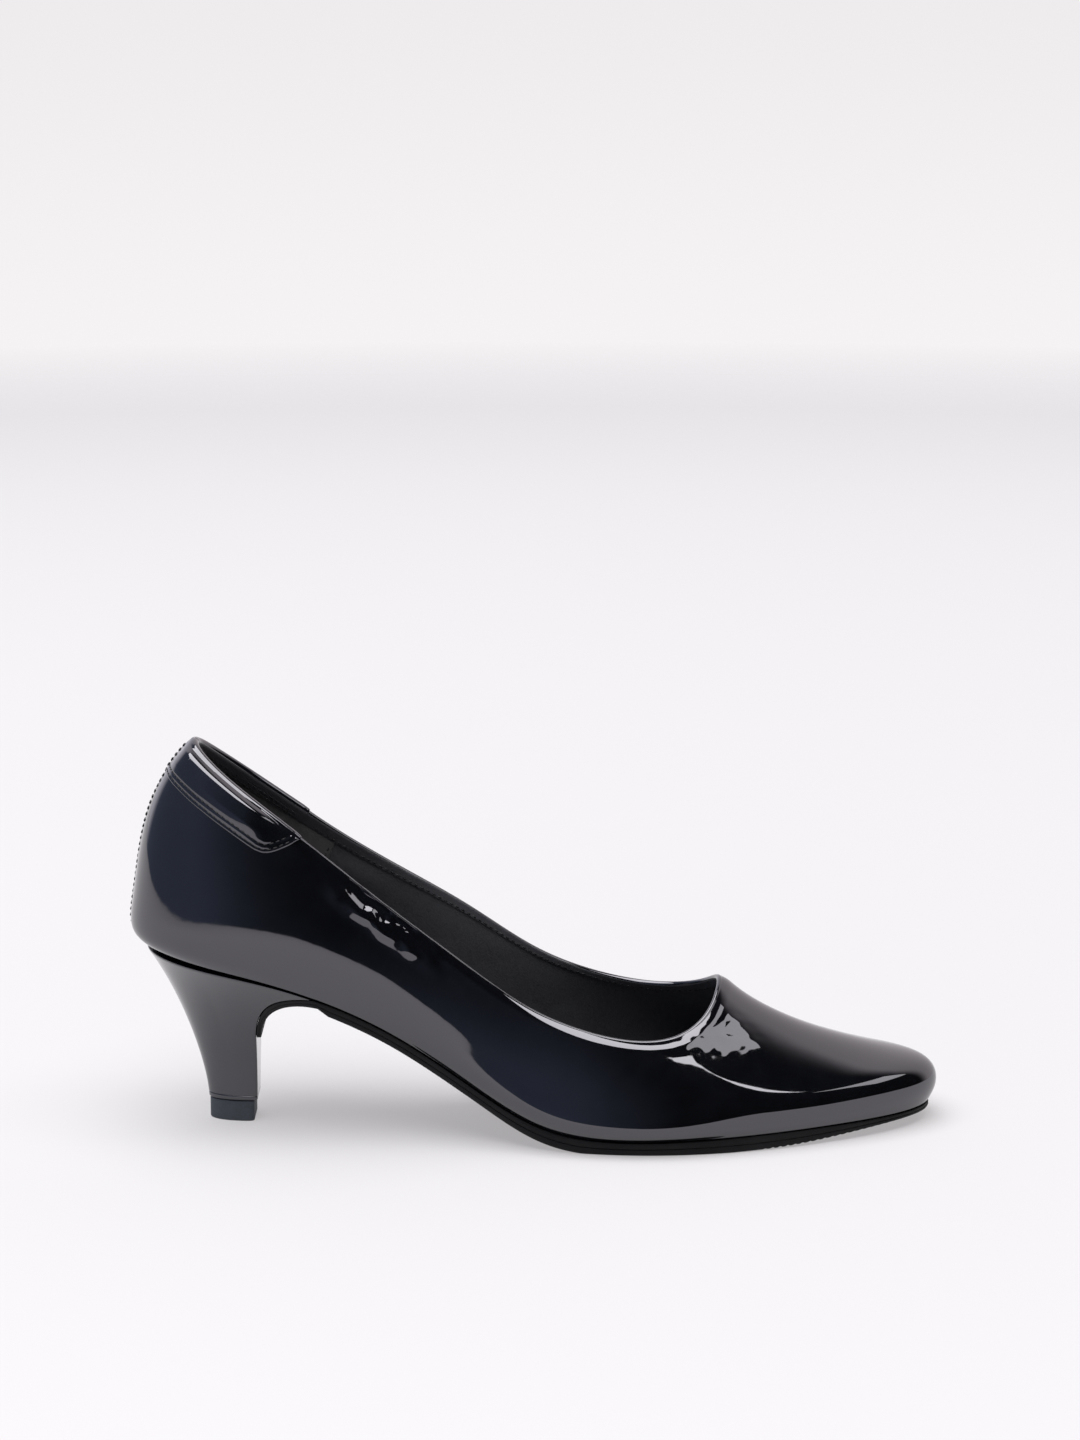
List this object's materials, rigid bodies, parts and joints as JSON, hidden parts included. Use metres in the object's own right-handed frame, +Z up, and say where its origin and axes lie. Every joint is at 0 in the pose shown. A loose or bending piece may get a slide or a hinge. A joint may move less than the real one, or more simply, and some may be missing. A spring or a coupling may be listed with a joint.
{
  "type": "high heel pump",
  "caption": "Pointed-toe court shoe in black patent for the right foot, with a low-cut topline, a collar patch at the heel and a flared mid-height cone heel.",
  "frame": {"origin": "centre of the bounding box in plan, on the ground the shoe stands on", "axes": "+X from the heel to the toe, +Y to the inner (medial) side of the foot, +Z up"},
  "size_m": [0.2472, 0.0812, 0.1202],
  "materials": {
    "patent": "black patent, high gloss",
    "lining": "black, smooth and matte",
    "heel_grip": "black, napped",
    "stiffener": "fibreboard, matte",
    "tape": "woven",
    "board": "cellulose board, matte",
    "foam": "foam, matte",
    "outsole": "black, satin edge and fine-textured tread",
    "heel_shell": "black lacquer, glossy",
    "top_piece": "dark slate, matte",
    "steel": "plain"
  },
  "bodies": {
    "root": {"vamp_and_quarters": "patent", "vamp_lining": "lining", "heel_grip_lining": "heel_grip", "collar_patch_outer_side": "patent", "collar_patch_inner_side": "patent", "back_seam_tape": "tape", "topline_tape": "tape", "heel_counter": "stiffener", "toe_puff": "stiffener", "insole_board": "board", "steel_shank": "steel", "shank_rivet_rear": "steel", "shank_rivet_front": "steel", "forepart_filler": "board", "heel_cushion": "foam", "forefoot_cushion": "foam", "sock_lining": "lining", "heel_block": "heel_shell", "heel_tube": "steel", "top_piece": "top_piece", "top_piece_pin": "steel", "heel_screw": "steel", "heel_nail_1": "steel", "heel_nail_2": "steel", "heel_nail_3": "steel", "heel_nail_4": "steel", "outsole": "outsole"}
  },
  "joints": []
}
